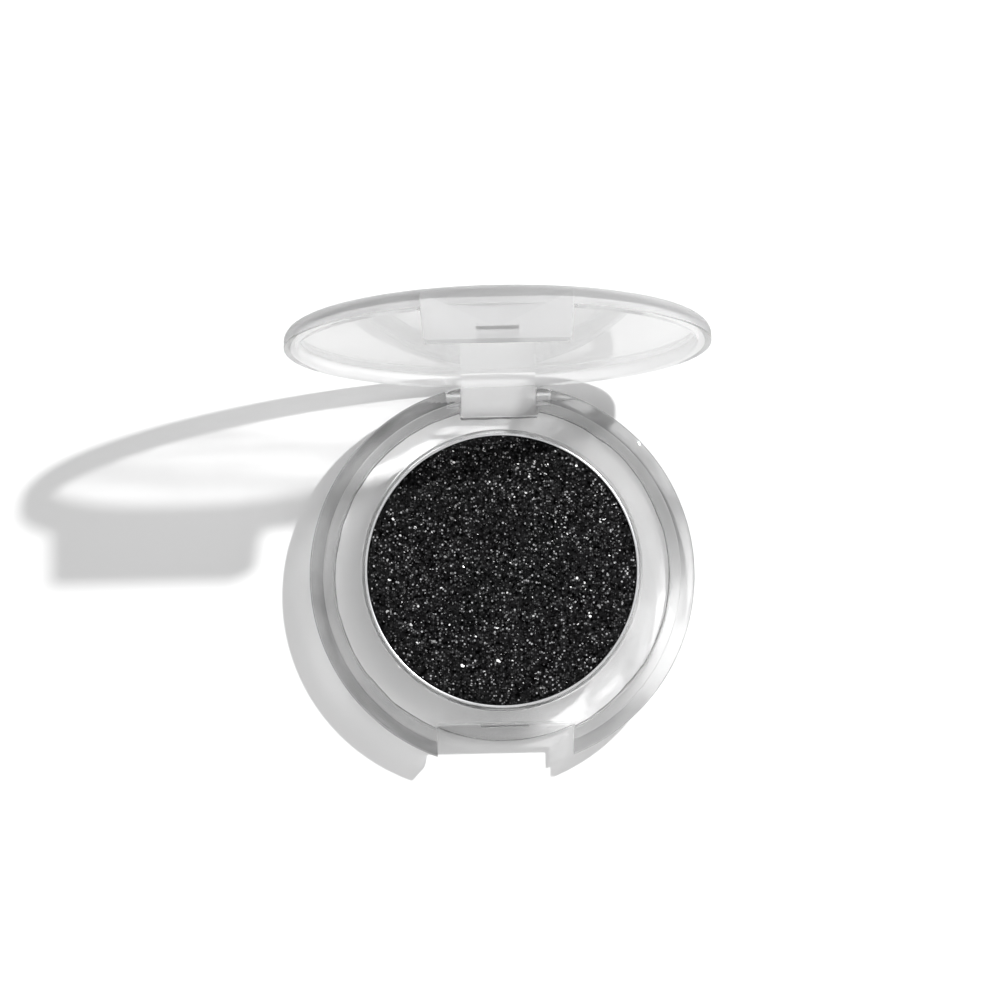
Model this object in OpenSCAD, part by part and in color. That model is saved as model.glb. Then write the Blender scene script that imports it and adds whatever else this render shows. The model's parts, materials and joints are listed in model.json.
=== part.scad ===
// Single-pan pressed-shadow compact: a thick clear base, a metal pan of pressed powder on a dot
// of glue, and a clear hinged lid whose tab snaps past a catch in the base's front notch.
// Frame: the origin is the centre of the foot's underside, +Z is up, the hinge is towards +Y and
// the latch towards -Y. The lid is drawn open, against its stop. Millimetres and degrees.

/* [Pan] */
// Outside diameter of the metal pan
pan_d = 26.0; // [20:0.1:40]
// Overall height of the pan
pan_h = 3.5; // [3.3:0.05:8]
// Sheet thickness of the pan
pan_wall = 0.25; // [0.15:0.05:0.5]
// Outside corner radius at the foot of the pan's wall
pan_corner_r = 0.6; // [0.4:0.05:1.5]
// How far the pressed powder stops below the pan's rim
powder_sink = 0.15; // [0:0.05:1]
// Bevel round the top edge of the pressed powder
powder_bevel = 0.1; // [0.05:0.05:0.5]
// Diameter of the glue dot under the pan
glue_d = 8.0; // [4:0.5:14]
// Thickness of the glue dot
glue_t = 0.1; // [0.05:0.05:0.4]

/* [Base] */
// Radial gap between the pan and its well
pan_gap = 0.25; // [0.1:0.05:1]
// How far the pan's rim stops below the top of the raised ring
pan_sink = 0.3; // [0:0.05:1.5]
// How far the well sits off centre, towards the hinge
well_shift = 0.5; // [0:0.05:1]
// Thickness of the floor under the pan
floor_t = 0.9; // [0.8:0.05:3]
// Radial width of the raised ring, on the well's centre line
ring_w = 3.65; // [3.3:0.05:8]
// Height of the raised ring above the ledge that the lid closes on
ring_step = 0.8; // [0.4:0.05:1.2]
// Radial width of the ledge that the lid closes on
ledge_w = 1.4; // [1.1:0.05:2]
// How far the foot is set in under the ledge's edge
foot_inset = 2.15; // [0.5:0.05:2.5]
// Height at which the flare above the foot meets the outer wall
flare_top = 2.1; // [1.6:0.05:2.4]
// Small bevel on the base's outside edges
edge_bevel = 0.15; // [0.05:0.05:0.3]
// Bevel round the mouth of the well
mouth_bevel = 0.12; // [0.05:0.01:0.2]

/* [Lid] */
// Thickness of the lid's flat plate
plate_t = 0.7; // [0.5:0.05:2]
// Gap between the raised ring's top and the closed lid
lid_gap = 0.15; // [0.05:0.05:0.5]
// Radial gap between the raised ring and the lid's rim
rim_gap = 0.2; // [0.15:0.05:0.6]
// Radius of the lid's rounded top edge
lid_edge_r = 1.0; // [0.3:0.05:1.4]
// Radius inside the lid, between its plate and its rim
lid_cove_r = 0.3; // [0.1:0.05:0.5]
// Angle that the lid opens through, from closed to its stop
lid_open = 95.5; // [92:0.5:96]

/* [Hinge] */
// Distance from the back edge of the closed lid to the hinge axis
hinge_inset = 1.7; // [1.5:0.05:2]
// Width of the lid's hinge tongue
tongue_w = 7.06; // [5:0.01:9]
// Side gap between the tongue and each cheek of its slot
tongue_gap = 0.1; // [0.05:0.01:0.3]
// Radius of the tongue's rounded front, about the hinge axis
barrel_r = 1.35; // [1:0.05:1.5]
// Gap between the tongue's rounded front and the end of its slot
barrel_gap = 0.15; // [0.14:0.01:0.4]
// Distance from the hinge axis to the back of the tongue
tongue_back = 1.4; // [1:0.05:1.42]
// Height of the ledge above the hinge axis
hinge_drop = 1.6; // [1.5:0.05:1.8]
// Running gap between the base's back edge and the turning lid
relief_gap = 0.1; // [0.05:0.01:0.3]
// Radius of the trunnions moulded on the tongue
trunnion_r = 0.5; // [0.3:0.05:0.6]
// Length of each trunnion
trunnion_l = 1.2; // [0.6:0.05:1.4]
// Radial running clearance of a trunnion in its hole
trunnion_clear = 0.05; // [0.02:0.01:0.1]
// Lead-in bevel on the end of a trunnion
trunnion_bevel = 0.15; // [0.05:0.05:0.25]

/* [Latch] */
// Depth of the latch notch, from the front edge of the ledge
notch_depth = 4.2; // [3.6:0.05:4.4]
// Width of the lid's latch tab where it leaves the rim
tab_w = 11.7; // [8:0.1:14]
// How much narrower the tab is at its tip, in all
tab_taper = 0.5; // [0:0.1:1.5]
// Side gap between the tab and each cheek of the notch
tab_side_gap = 0.6; // [0.2:0.05:1]
// Thickness of the tab
tab_t = 1.6; // [1:0.05:2]
// How far the tab's flat face is set in from the lid's edge
tab_inset = 0.4; // [0.3:0.05:0.8]
// Height of the closed tab's tip above the notch's floor
tab_lift = 0.5; // [0.3:0.05:1]
// Width of the catch on the notch's back wall
catch_w = 4.7; // [3:0.1:8]
// How far the catch stands out of the notch's back wall
catch_out = 0.45; // [0.35:0.05:0.8]
// Height of the catch's middle above the notch's floor
catch_lift = 1.8; // [1.4:0.05:2.2]
// Width of the nib that snaps past the catch
nib_w = 3.3; // [2:0.1:6]
// Radius of the rounded noses of the nib and the catch
nose_r = 0.3; // [0.2:0.05:0.35]
// How far the nib reaches past the catch's nose
nib_grip = 0.02; // [0.01:0.01:0.03]
// Height of the catch's middle above the closed nib's middle
nib_drop = 0.3; // [0.2:0.02:0.5]

/* [Underside label] */
// Diameter of the blank shade label
label_d = 24.0; // [14:0.5:26]
// Thickness of the label
label_t = 0.1; // [0.05:0.05:0.2]
// Depth of the label's recess
label_recess = 0.2; // [0.15:0.05:0.3]
// Radial gap round the label in its recess
label_gap = 0.2; // [0.1:0.05:0.5]

/* [Hidden] */
$fn = 128;
eps = 0.01;
far = 60;

well_r = pan_d / 2 + pan_gap;
ring_r = well_r + ring_w;
base_r = ring_r + ledge_w;
foot_r = base_r - foot_inset;
pan_z = floor_t + glue_t;
ring_z = pan_z + pan_h + pan_sink;
ledge_z = ring_z - ring_step;

rim_depth = ring_step + lid_gap;
rim_in_r = ring_r + rim_gap;
lid_t = rim_depth + plate_t;

slot_w = tongue_w + 2 * tongue_gap;
pivot_y = base_r - hinge_inset;
slot_end_y = pivot_y - barrel_r - barrel_gap;
pivot_z = ledge_z - hinge_drop;
relief_r = hinge_drop - relief_gap;
trunnion_hole_r = trunnion_r + trunnion_clear;
trunnion_hole_l = tongue_gap * 2 + trunnion_l + 0.1;

notch_y = base_r - notch_depth;
notch_w = tab_w + 2 * tab_side_gap;
tab_out_y = base_r - tab_inset;
tab_in_y = tab_out_y - tab_t;
catch_z = floor_t + catch_lift;
catch_nose_y = notch_y + catch_out - nose_r;
nib_z = catch_z - nib_drop;
nib_nose_y = notch_y + catch_out - nib_grip + nose_r;

clear_plastic = [0.93, 0.94, 0.95, 0.35];

// An outline in Y and Z, made into a bar of the given width that is centred on X = 0.
module bar_x(width) {
    rotate([90, 0, 90])
        translate([0, 0, -width / 2])
            linear_extrude(height = width) children();
}

// A cylinder along X, centred on X = 0.
module rod_x(r, length) {
    rotate([0, 90, 0]) cylinder(h = length, r = r, center = true);
}

// The solid of revolution under the ledge and the raised ring, before anything is cut from it.
module base_blank() {
    rotate_extrude()
        polygon([
            [0, 0],
            [foot_r - edge_bevel, 0],
            [foot_r, edge_bevel],
            [foot_r, floor_t],
            [base_r - edge_bevel, flare_top - edge_bevel / 2],
            [base_r, flare_top + edge_bevel],
            [base_r, ledge_z - edge_bevel],
            [base_r - edge_bevel, ledge_z],
            [ring_r, ledge_z],
            [ring_r, ring_z - edge_bevel],
            [ring_r - edge_bevel, ring_z],
            [0, ring_z]
        ]);
}

// The room for the pan, with a bevelled mouth.
module well_cut() {
    translate([0, well_shift, 0]) {
        translate([0, 0, floor_t]) cylinder(h = far, r = well_r);
        translate([0, 0, ring_z - mouth_bevel])
            cylinder(h = mouth_bevel + eps, r1 = well_r, r2 = well_r + mouth_bevel + eps);
    }
}

// The front notch that the lid's tab closes into. Its floor is the base's own floor.
module notch_cut() {
    translate([-notch_w / 2, -far, floor_t]) cube([notch_w, far - notch_y, far]);
}

// The slot for the lid's tongue, open at the back, the top and the bottom.
module slot_cut() {
    translate([-slot_w / 2, slot_end_y, -far / 2]) cube([slot_w, far, far]);
}

// What is taken off the base's back edge so that the lid's rim can swing round it.
module relief_cut() {
    difference() {
        translate([-far / 2, pivot_y, floor_t]) cube([far, far, far]);
        translate([0, pivot_y, pivot_z]) rod_x(relief_r, far + 2);
        translate([-far / 2 - 1, pivot_y - eps, -far]) cube([far + 2, relief_r + eps, far + pivot_z]);
    }
}

// A rounded bar on the notch's back wall, which the lid's nib snaps under.
module catch() {
    bar_x(catch_w) union() {
        translate([-catch_nose_y, catch_z]) circle(r = nose_r);
        translate([-catch_nose_y, catch_z - nose_r]) square([catch_nose_y - notch_y + nose_r, 2 * nose_r]);
    }
}

module base_shell() {
    color(clear_plastic)
        union() {
            difference() {
                base_blank();
                well_cut();
                notch_cut();
                slot_cut();
                relief_cut();
                translate([0, 0, -eps]) cylinder(h = label_recess + eps, r = label_d / 2 + label_gap);
                translate([0, pivot_y, pivot_z])
                    rod_x(trunnion_hole_r, tongue_w + 2 * trunnion_hole_l);
            }
            catch();
        }
}

// The lid's plate and rim, closed, with the rim's face at Z = 0.
module lid_cap() {
    rotate_extrude()
        difference() {
            union() {
                square([base_r, lid_t - lid_edge_r]);
                square([base_r - lid_edge_r, lid_t]);
                translate([base_r - lid_edge_r, lid_t - lid_edge_r]) circle(r = lid_edge_r);
            }
            translate([0, -far]) square([far, far]);
            difference() {
                translate([0, -eps]) square([rim_in_r, rim_depth + eps]);
                difference() {
                    translate([rim_in_r - lid_cove_r, rim_depth - lid_cove_r])
                        square([lid_cove_r + eps, lid_cove_r + eps]);
                    translate([rim_in_r - lid_cove_r, rim_depth - lid_cove_r]) circle(r = lid_cove_r);
                }
            }
        }
}

// The latch tab: a flat, slightly tapered panel below the rim, with the nib on its inside.
module tab() {
    tip_z = floor_t + tab_lift;
    root_z = ledge_z + rim_depth + eps;
    translate([0, -tab_in_y, 0])
        rotate([90, 0, 0])
            linear_extrude(height = tab_t)
                polygon([
                    [-(tab_w - tab_taper) / 2, tip_z],
                    [(tab_w - tab_taper) / 2, tip_z],
                    [tab_w / 2, ledge_z],
                    [tab_w / 2, root_z],
                    [-tab_w / 2, root_z],
                    [-tab_w / 2, ledge_z]
                ]);
    bar_x(nib_w) union() {
        translate([-nib_nose_y, nib_z]) circle(r = nose_r);
        translate([-tab_in_y - eps, nib_z - nose_r]) square([tab_in_y + eps - nib_nose_y, 2 * nose_r]);
    }
}

// The hinge tongue. Its front is rounded about the hinge axis and its heel is square, so the
// heel meets the end of the slot when the lid is fully open.
module tongue() {
    intersection() {
        bar_x(tongue_w) union() {
            translate([pivot_y, pivot_z]) circle(r = barrel_r);
            translate([pivot_y - barrel_r, pivot_z])
                square([barrel_r + tongue_back, hinge_drop + rim_depth + eps]);
            translate([pivot_y, pivot_z - barrel_r]) square([tongue_back, 2 * barrel_r]);
        }
        cylinder(h = far, r = base_r - edge_bevel);
    }
    translate([0, pivot_y, pivot_z]) {
        rod_x(trunnion_r, tongue_w + 2 * (trunnion_l - trunnion_bevel));
        for (side = [-1, 1])
            rotate([0, side * 90, 0])
                translate([0, 0, tongue_w / 2 + trunnion_l - trunnion_bevel])
                    cylinder(h = trunnion_bevel, r1 = trunnion_r, r2 = trunnion_r - trunnion_bevel);
    }
}

module lid() {
    color(clear_plastic)
        translate([0, pivot_y, pivot_z])
            rotate([-lid_open, 0, 0])
                translate([0, -pivot_y, -pivot_z])
                    union() {
                        translate([0, 0, ledge_z]) lid_cap();
                        tab();
                        tongue();
                    }
}

// A cup's outline from the axis outwards, with a rounded corner at its foot.
module cup_outline(r, h, corner) {
    translate([0, corner]) square([r, h - corner]);
    square([r - corner, corner + eps]);
    intersection() {
        translate([r - corner, corner]) circle(r = corner);
        square([r, h]);
    }
}

module pan() {
    color([0.78, 0.79, 0.80])
        translate([0, well_shift, pan_z])
            rotate_extrude()
                difference() {
                    cup_outline(pan_d / 2, pan_h, pan_corner_r);
                    translate([0, pan_wall])
                        cup_outline(pan_d / 2 - pan_wall, pan_h, pan_corner_r - pan_wall);
                }
}

module powder_cake() {
    cake_r = pan_d / 2 - pan_wall;
    cake_h = pan_h - pan_wall - powder_sink;
    color([0.03, 0.03, 0.035])
        translate([0, well_shift, pan_z + pan_wall])
            rotate_extrude()
                difference() {
                    cup_outline(cake_r, cake_h, pan_corner_r - pan_wall);
                    polygon([
                        [cake_r - powder_bevel, cake_h],
                        [cake_r, cake_h - powder_bevel],
                        [cake_r + 1, cake_h - powder_bevel],
                        [cake_r + 1, cake_h + 1],
                        [cake_r - powder_bevel, cake_h + 1]
                    ]);
                }
}

module pan_glue_dot() {
    color([0.85, 0.82, 0.7])
        translate([0, well_shift, floor_t]) cylinder(h = glue_t, r = glue_d / 2);
}

module shade_label() {
    color([0.95, 0.95, 0.94])
        translate([0, 0, label_recess - label_t]) cylinder(h = label_t, r = label_d / 2);
}

base_shell();
lid();
pan();
powder_cake();
pan_glue_dot();
shade_label();
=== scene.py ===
"""The looks of a clear single-pan eyeshadow compact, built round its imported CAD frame.

Every length is in millimetres until it goes into a mesh, and every piece sits at the origin with
its place in its mesh. The base and the lid are clear moulded plastic, the pan is drawn metal and
the pan's fill is a black pressed powder full of glitter.
"""

import json
import logging
import math
from dataclasses import dataclass
from enum import Enum
from typing import Any

import bmesh
import bpy
import numpy as np
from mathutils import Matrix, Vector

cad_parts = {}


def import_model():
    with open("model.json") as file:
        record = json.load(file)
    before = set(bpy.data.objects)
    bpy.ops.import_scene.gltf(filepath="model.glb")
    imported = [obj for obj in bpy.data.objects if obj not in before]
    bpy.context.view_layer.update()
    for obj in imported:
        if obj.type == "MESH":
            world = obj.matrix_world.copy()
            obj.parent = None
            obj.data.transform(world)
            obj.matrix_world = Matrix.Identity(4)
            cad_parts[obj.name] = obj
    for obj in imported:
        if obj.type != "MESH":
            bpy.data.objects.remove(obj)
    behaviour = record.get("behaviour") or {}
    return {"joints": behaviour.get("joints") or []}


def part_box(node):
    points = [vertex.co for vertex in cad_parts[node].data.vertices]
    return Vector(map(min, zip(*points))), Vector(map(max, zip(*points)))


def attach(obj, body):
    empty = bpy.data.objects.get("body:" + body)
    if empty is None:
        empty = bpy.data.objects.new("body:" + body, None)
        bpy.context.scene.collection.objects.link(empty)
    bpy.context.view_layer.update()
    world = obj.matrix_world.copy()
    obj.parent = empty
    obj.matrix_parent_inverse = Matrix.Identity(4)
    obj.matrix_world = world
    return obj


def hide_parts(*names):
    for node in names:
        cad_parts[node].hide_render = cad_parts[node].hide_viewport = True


MM = 0.001
SHARP = math.radians(28)
WHITE = (1.0, 1.0, 1.0, 1.0)
log = logging.getLogger("compact")

Array = np.ndarray
Piece = bpy.types.Object
Material = bpy.types.Material
Mesh = bpy.types.Mesh


class Body(Enum):
    """The CAD bodies that the pieces ride on."""

    BASE = "base"
    LID = "lid"


class Slot(Enum):
    """The record's material slots."""

    CLEAR_BASE = "clear_base"
    CLEAR_LID = "clear_lid"
    PAN = "pan_metal"
    POWDER = "powder"
    GLUE = "glue"
    LABEL = "label"


# Shader tools.


@dataclass(frozen=True)
class Field:
    """A shader value: a socket whose sums and products add Math nodes."""

    graph: "Graph"
    socket: bpy.types.NodeSocket

    def maths(self, operation: str, other: Any) -> "Field":
        """Joins this value with a number or another field by a Math node."""
        return self.graph.value("ShaderNodeMath", {"operation": operation}, {0: self, 1: other})

    def __add__(self, other: Any) -> "Field":
        """The sum."""
        return self.maths("ADD", other)

    def __mul__(self, other: Any) -> "Field":
        """The product."""
        return self.maths("MULTIPLY", other)


class Graph:
    """One node tree, filled one node at a time."""

    def __init__(self, owner: Any) -> None:
        """Empties the node tree of its owner, a material, a world or a lamp."""
        owner.use_nodes = True
        self.owner = owner
        self.tree = owner.node_tree
        self.tree.nodes.clear()

    @classmethod
    def of_material(cls, name: str) -> "Graph":
        """The graph of a new material of that name."""
        return cls(bpy.data.materials.new(name))

    def node(
        self,
        kind: str,
        settings: dict[str, Any] | None = None,
        inputs: dict[Any, Any] | None = None,
    ) -> bpy.types.Node:
        """Adds a node.

        Args:
            kind: the node's type name.
            settings: the node's own properties; "stops" holds a ramp's (place, colour) pairs.
            inputs: values, fields or sockets for the inputs, by name or number.

        Returns:
            The new node.
        """
        made = self.tree.nodes.new(kind)
        for key, value in (settings or {}).items():
            if key == "stops":
                ramp = made.color_ramp.elements
                while len(ramp) < len(value):
                    ramp.new(1.0)
                for stop, (place, colour) in zip(ramp, value):
                    stop.position = place
                    stop.color = (*colour, 1.0) if np.ndim(colour) else (colour,) * 3 + (1.0,)
            else:
                setattr(made, key, value)
        for key, value in (inputs or {}).items():
            source = value.socket if isinstance(value, Field) else value
            if isinstance(source, bpy.types.NodeSocket):
                self.tree.links.new(source, made.inputs[key])
            else:
                made.inputs[key].default_value = source
        return made

    def value(
        self,
        kind: str,
        settings: dict[str, Any] | None = None,
        inputs: dict[Any, Any] | None = None,
        output: Any = 0,
    ) -> Field:
        """Adds a node, as node() does, and returns the output of this name or number."""
        return Field(self, self.node(kind, settings, inputs).outputs[output])

    def place(self) -> Field:
        """The point on the piece, in metres from the frame's origin."""
        return self.value("ShaderNodeTexCoord", output="Object")

    def moved(self, scale: Any, offset: tuple = (0, 0, 0), turn: tuple = (0, 0, 0)) -> Field:
        """The point after a Mapping node.

        Args:
            scale: the pattern's repeats per metre, one number or one for each axis.
            offset: how far the scaled pattern is moved.
            turn: its turn about each axis, in degrees.

        Returns:
            The mapped point.
        """
        angles = tuple(math.radians(t) for t in turn)
        sizes = scale if isinstance(scale, tuple) else (scale,) * 3
        inputs = {"Vector": self.place(), "Scale": sizes, "Location": offset, "Rotation": angles}
        return self.value("ShaderNodeMapping", None, inputs)

    def noise(self, point: Field, detail: float = 3, rough: float = 0.5) -> Field:
        """Cloudy noise from 0 to 1 at a point scaled to one repeat per unit."""
        inputs = {"Vector": point, "Scale": 1.0, "Detail": detail, "Roughness": rough}
        return self.value("ShaderNodeTexNoise", None, inputs, "Fac")

    def cells(self, point: Field, feature: str) -> bpy.types.Node:
        """A Voronoi pattern at a point that is scaled to one cell per unit."""
        inputs = {"Vector": point, "Scale": 1.0}
        return self.node("ShaderNodeTexVoronoi", {"feature": feature}, inputs)

    def vector(self, operation: str, inputs: dict[Any, Any], output: Any = 0) -> Field:
        """A Vector Math node, with inputs as for node()."""
        return self.value("ShaderNodeVectorMath", {"operation": operation}, inputs, output)

    def length(self, point: Field) -> Field:
        """How far the point is from the origin."""
        return self.vector("LENGTH", {0: point}, "Value")

    def round_way(self, along: float, across: float) -> Field:
        """The point as (x / r * along, y / r * along, r * across), which has no seam.

        Args:
            along: how finely a pattern repeats round the upright axis.
            across: how finely it repeats with the radius, per metre.

        Returns:
            The point.
        """
        flat = self.vector("MULTIPLY", {0: self.place(), 1: (1, 1, 0)})
        unit = self.vector("NORMALIZE", {0: flat})
        spun = self.vector("SCALE", {0: unit, 3: along})
        rise = self.value("ShaderNodeCombineXYZ", None, {"Z": self.length(flat) * across})
        return self.vector("ADD", {0: spun, 1: rise})

    def ramp(self, fac: Field, *stops: tuple) -> Field:
        """The colour at fac along a ramp of (place, grey or colour) stops."""
        return self.value("ShaderNodeValToRGB", {"stops": stops}, {"Fac": fac})

    def mixed(self, fac: Any, a: Any, b: Any, blend: str = "MIX") -> Field:
        """Colour a mixed with a share fac of colour b."""
        settings = {"data_type": "RGBA", "blend_type": blend}
        return self.value("ShaderNodeMix", settings, {0: fac, 6: a, 7: b}, 2)

    def attribute(self, name: str) -> Field:
        """The number that a mesh attribute gives each point."""
        settings = {"attribute_type": "GEOMETRY", "attribute_name": name}
        return self.value("ShaderNodeAttribute", settings, output="Fac")

    def bump(self, height: Field, strength: float, distance: float) -> Field:
        """A normal bumped by a relief from 0 to 1 that is distance metres deep."""
        inputs = {"Height": height, "Strength": strength, "Distance": distance}
        return self.value("ShaderNodeBump", None, inputs, "Normal")

    def principled(self, **inputs: Any) -> Field:
        """A Principled shader: its sockets by name, with underscores for spaces."""
        named = {k.replace("_", " "): v for k, v in inputs.items()}
        return self.value("ShaderNodeBsdfPrincipled", None, named)

    def finish(self, shader: Field) -> Material:
        """Sends the shader to the output and returns the finished material."""
        self.node("ShaderNodeOutputMaterial", None, {"Surface": shader})
        return self.owner

    def surface(self, **inputs: Any) -> Material:
        """Finishes the material with a Principled shader of these inputs."""
        return self.finish(self.principled(**inputs))


# Finishes.


@dataclass(frozen=True)
class ClearPlastic:
    """Clear moulded styrene: hard, glossy, faintly wavy, with hairline handling marks.

    A lamp shines through its flat panes, in the streaks that moulded plastic throws, and not
    through its thick edges. Three attributes of the piece say where the panes are, which faces
    get a painted shade (a darker, smoky colour that stands in for the shade in thick parts) and
    which are satin. The folds are how finely the moulding's waves repeat round the upright axis
    and with the radius. A plastic without them is cloudy instead.
    """

    name: str
    tint: tuple
    # The colour below is a painted shade: the darker, smoky colour given to faces that stand in
    # shade.
    shade_colour: tuple
    streaks: tuple
    ior: float
    satin: float
    clarity: float
    shade_least: float
    wave_strength: float
    wave_depth: float
    folds: tuple | None = None
    pane: str = "pane"
    deep: str = "deep"
    soft: str = "soft"

    def material(self) -> Material:
        """Builds the finish.

        Returns:
            The material.
        """
        g = Graph.of_material(self.name)
        if self.folds:
            flow_at = g.round_way(*self.folds)
            wave_at = g.round_way(self.folds[0] * 0.8, self.folds[1] * 0.7)
        else:
            flow_at, wave_at = g.moved(160), g.moved((55, 55, 300), turn=(0, 40, 0))
        flow, wave = g.noise(flow_at, 2, 0.4), g.noise(wave_at)
        hair = g.noise(g.moved((900, 12000, 900), turn=(0, 0, 31)), 2, 0.6)
        relief = flow * 0.9 + g.ramp(hair, (0.0, 0.0), (0.70, 0.0), (0.76, 1.0)) * 0.02
        cloud = g.noise(g.moved(450), 4, 0.55)
        polish = g.ramp(cloud, (0.0, 0.012), (0.55, 0.02), (0.8, 0.045))
        # Painted shade: marked faces get the darker shade colour, patchy with the moulding's waves.
        shade_share = g.attribute(self.deep) * g.ramp(wave, (0.38, 1.0), (0.6, self.shade_least))
        plastic = g.principled(
            Base_Color=g.mixed(shade_share, self.tint, self.shade_colour),
            Roughness=g.mixed(g.attribute(self.soft), polish, (self.satin,) * 3 + (1.0,)),
            IOR=self.ior,
            Transmission_Weight=self.clarity,
            Normal=g.bump(relief, self.wave_strength, self.wave_depth),
        )
        ray = g.value("ShaderNodeLightPath", output="Is Shadow Ray")
        share = ray * g.attribute(self.pane) * g.ramp(wave, *self.streaks)
        through = g.value("ShaderNodeBsdfTransparent", None, {"Color": WHITE})
        return g.finish(g.value("ShaderNodeMixShader", None, {0: share, 1: plastic, 2: through}))


BASE_PLASTIC = ClearPlastic(
    name="clear_base",
    tint=(0.987, 0.987, 0.988, 1.0),
    # Painted shade for the flare and outer ledge.
    shade_colour=(0.34, 0.34, 0.342, 1.0),
    streaks=((0.42, 0.12), (0.50, 0.45), (0.57, 1.0)),
    ior=1.5,
    satin=0.28,
    clarity=0.92,
    shade_least=0.6,
    wave_strength=0.9,
    wave_depth=0.00022,
    folds=(2.4, 520.0),
)
LID_PLASTIC = ClearPlastic(
    name="clear_lid",
    tint=(0.87, 0.87, 0.871, 1.0),
    # Painted shade for the top's rounded edge, a little darker than the tint.
    shade_colour=(0.84, 0.84, 0.842, 1.0),
    streaks=((0.36, 0.55), (0.60, 1.0)),
    ior=1.13,
    satin=0.42,
    clarity=0.8,
    shade_least=1.0,
    wave_strength=0.25,
    wave_depth=0.00003,
)


@dataclass(frozen=True)
class PanMetal:
    """Drawn, tinned steel: fine turning lines round the wall and a cloudy satin shine."""

    name: str = "pan_metal"

    def material(self) -> Material:
        """Builds the finish.

        Returns:
            The material.
        """
        g = Graph.of_material(self.name)
        lines = g.noise(g.moved((150, 150, 14000)), 3, 0.6)
        cloud = g.noise(g.moved(600), 4, 0.55)
        return g.surface(
            Base_Color=g.ramp(cloud, (0.25, (0.66, 0.67, 0.68)), (0.75, (0.86, 0.86, 0.87))),
            Metallic=1.0,
            Roughness=g.ramp(lines, (0.3, 0.16), (0.7, 0.34)),
            Normal=g.bump(lines, 0.3, 0.00002),
        )


@dataclass(frozen=True)
class PressedPowder:
    """Black pressed powder: matt soot between packed grains, some of them mica whose sparkle is a
    painted glint, a near-white colour.
    """

    name: str = "powder"
    grain: float = 5200.0
    offset: tuple = (3.1, 5.27, 0.93)
    soot: tuple = (0.0001, 0.0001, 0.0001, 1)
    dust: tuple = (0.015, 0.015, 0.0155, 1)
    mica_glint: tuple = (0.9, 0.9, 0.92, 1)

    def material(self) -> Material:
        """Builds the finish.

        Returns:
            The material.
        """
        g = Graph.of_material(self.name)
        dark = g.ramp(g.noise(g.moved(2600), 4, 0.7), (0.38, 0.0), (0.7, 1.0))
        grain = g.cells(g.moved(self.grain, self.offset), "F1")
        pick = g.value("ShaderNodeSeparateColor", None, {0: grain.outputs["Color"]})
        away = Field(g, grain.outputs["Distance"])
        disc = g.ramp(away, (0.0, 1.0), (0.42, 0.8), (0.62, 0.0))
        # Painted glints: a few grains are painted near white, standing in for grains that catch the
        # light.
        sparkle = disc * g.ramp(pick, (0.5, 0.0), (0.8, 0.03), (0.93, 0.10), (1.0, 0.5))
        height = g.noise(g.moved(7000), 3, 0.7) + sparkle * 0.4
        return g.surface(
            Base_Color=g.mixed(sparkle, g.mixed(dark, self.soot, self.dust), self.mica_glint),
            Roughness=g.ramp(sparkle, (0.0, 0.82), (0.4, 0.35)),
            Specular_IOR_Level=0.0,
            Normal=g.bump(height, 0.8, 0.00006),
        )


@dataclass(frozen=True)
class GlitterFlake:
    """Silvered glitter film. Each flake keeps its own brightness in the piece's attribute, a
    painted glint: flakes are painted from near black to white in place of catching the light, on
    top of the film's real metallic shine.
    """

    name: str = "glitter"
    attribute: str = "flake_shade"

    def material(self) -> Material:
        """Builds the finish.

        Returns:
            The material.
        """
        g = Graph.of_material(self.name)
        shade = g.attribute(self.attribute)
        film = g.noise(g.moved(9000), 2)
        # Painted glints: each flake's colour runs from near black to white by its attribute; the
        # film's metallic shine is real.
        grey = g.ramp(shade, (0.0, 0.003), (0.5, 0.045), (0.8, 0.3), (0.93, 1.0))
        return g.surface(
            Base_Color=g.mixed(0.25, grey, g.ramp(film, (0.2, 0.3), (0.8, 1.0)), "MULTIPLY"),
            Metallic=0.35,
            Roughness=g.ramp(film, (0.3, 0.3), (0.7, 0.5)),
        )


@dataclass(frozen=True)
class GlueBead:
    """A dried dot of clear amber glue with small trapped bubbles."""

    name: str = "glue"

    def material(self) -> Material:
        """Builds the finish.

        Returns:
            The material.
        """
        g = Graph.of_material(self.name)
        bubbles = Field(g, g.cells(g.moved(1800), "SMOOTH_F1").outputs["Distance"])
        cloud = g.noise(g.moved(500), 4)
        return g.surface(
            Base_Color=g.ramp(cloud, (0.3, (0.62, 0.5, 0.3)), (0.7, (0.8, 0.72, 0.52))),
            Roughness=g.ramp(bubbles, (0.1, 0.12), (0.5, 0.3)),
            Normal=g.bump(bubbles, 0.4, 0.00005),
        )


@dataclass(frozen=True)
class LabelPaper:
    """Blank coated label paper with a faint fibre and a faintly cloudy tone and sheen."""

    name: str = "label"

    def material(self) -> Material:
        """Builds the finish.

        Returns:
            The material.
        """
        g = Graph.of_material(self.name)
        fibre = g.noise(g.moved((900, 5200, 900), turn=(0, 0, 24)), 4, 0.65)
        cloud = g.noise(g.moved(220))
        paper = g.ramp(fibre, (0.25, (0.80, 0.80, 0.79)), (0.75, (0.88, 0.88, 0.87)))
        return g.surface(
            Base_Color=g.mixed(0.12, paper, g.ramp(cloud, (0.2, 0.75), (0.8, 1.0)), "MULTIPLY"),
            Roughness=g.ramp(cloud, (0.2, 0.38), (0.8, 0.55)),
            Normal=g.bump(fibre, 0.25, 0.00003),
        )


# Mesh tools.


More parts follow.
